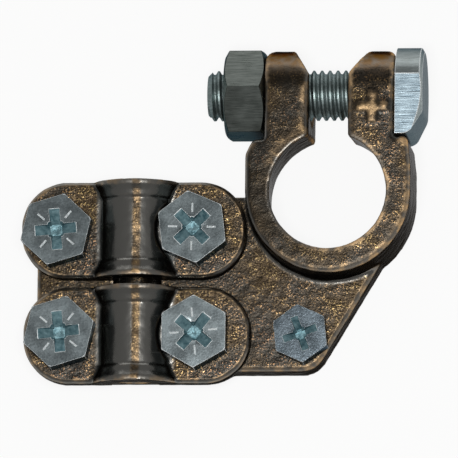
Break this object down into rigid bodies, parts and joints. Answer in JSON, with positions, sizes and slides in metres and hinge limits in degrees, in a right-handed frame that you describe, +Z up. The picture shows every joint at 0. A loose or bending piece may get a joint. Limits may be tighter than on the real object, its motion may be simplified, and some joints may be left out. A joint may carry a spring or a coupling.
{
  "type": "battery terminal clamp",
  "caption": "Cast clamp for a battery post: a split ring drawn together by a pinch bolt, on a plate with screwed saddles that grip the cable.",
  "frame": {"origin": "axis of the post bore, in the plane of the flat underside", "axes": "+X from the plate towards the bolt's head, +Y from the ring towards the ears, +Z up out of the wide end of the post bore towards its narrow end"},
  "size_m": [0.0633, 0.0531, 0.015],
  "materials": {
    "cast_bronze": "rough dark casting",
    "zinc_plated_steel": "blue-white zinc plating",
    "steel_nut": "dull grey plating"
  },
  "bodies": {
    "clamp": {"clamp_body": "cast_bronze"},
    "bolt": {"pinch_bolt": "zinc_plated_steel"},
    "nut": {"pinch_nut": "steel_nut"},
    "upper_saddle": {"saddle_upper": "cast_bronze"},
    "lower_saddle": {"saddle_lower": "cast_bronze"},
    "accessory": {"accessory_screw": "zinc_plated_steel"},
    "upper_left_screw": {"saddle_screw_upper_left": "zinc_plated_steel"},
    "upper_right_screw": {"saddle_screw_upper_right": "zinc_plated_steel"},
    "lower_left_screw": {"saddle_screw_lower_left": "zinc_plated_steel"},
    "lower_right_screw": {"saddle_screw_lower_right": "zinc_plated_steel"}
  },
  "joints": [
    {"name": "nut_turn", "type": "hinge", "parent": "clamp", "child": "nut", "pos_m": [-0.0133, 0.016, 0.0075], "axis": [-1, 0, 0], "range_deg": [0, 1800]},
    {"name": "bolt_slide", "type": "slide", "parent": "clamp", "child": "bolt", "axis": [1, 0, 0], "range_m": [0, 0.00625]},
    {"name": "accessory_screw_turn", "type": "hinge", "parent": "clamp", "child": "accessory", "pos_m": [-0.0045, -0.0219, 0.006], "axis": [0, 0, 1], "range_deg": [0, 1440]},
    {"name": "upper_saddle_lift", "type": "slide", "parent": "clamp", "child": "upper_saddle", "axis": [0, 0, 1], "range_m": [0, 0.004]},
    {"name": "upper_left_screw_turn", "type": "hinge", "parent": "upper_saddle", "child": "upper_left_screw", "pos_m": [-0.0427, -0.0058, 0.009], "axis": [0, 0, 1], "range_deg": [0, 1440]},
    {"name": "upper_right_screw_turn", "type": "hinge", "parent": "upper_saddle", "child": "upper_right_screw", "pos_m": [-0.0213, -0.0055, 0.009], "axis": [0, 0, 1], "range_deg": [0, 1440]},
    {"name": "lower_saddle_lift", "type": "slide", "parent": "clamp", "child": "lower_saddle", "axis": [0, 0, 1], "range_m": [0, 0.004]},
    {"name": "lower_left_screw_turn", "type": "hinge", "parent": "lower_saddle", "child": "lower_left_screw", "pos_m": [-0.0421, -0.022, 0.009], "axis": [0, 0, 1], "range_deg": [0, 1440]},
    {"name": "lower_right_screw_turn", "type": "hinge", "parent": "lower_saddle", "child": "lower_right_screw", "pos_m": [-0.0209, -0.022, 0.009], "axis": [0, 0, 1], "range_deg": [0, 1440]}
  ],
  "couplings": [
    {"joint": "bolt_slide", "follows": "nut_turn", "m_per_rad": 0.00019894},
    {"joint": "upper_left_screw_turn", "follows": "upper_saddle_lift", "rad_per_m": 6283},
    {"joint": "upper_right_screw_turn", "follows": "upper_saddle_lift", "rad_per_m": 6283},
    {"joint": "lower_left_screw_turn", "follows": "lower_saddle_lift", "rad_per_m": 6283},
    {"joint": "lower_right_screw_turn", "follows": "lower_saddle_lift", "rad_per_m": 6283}
  ]
}
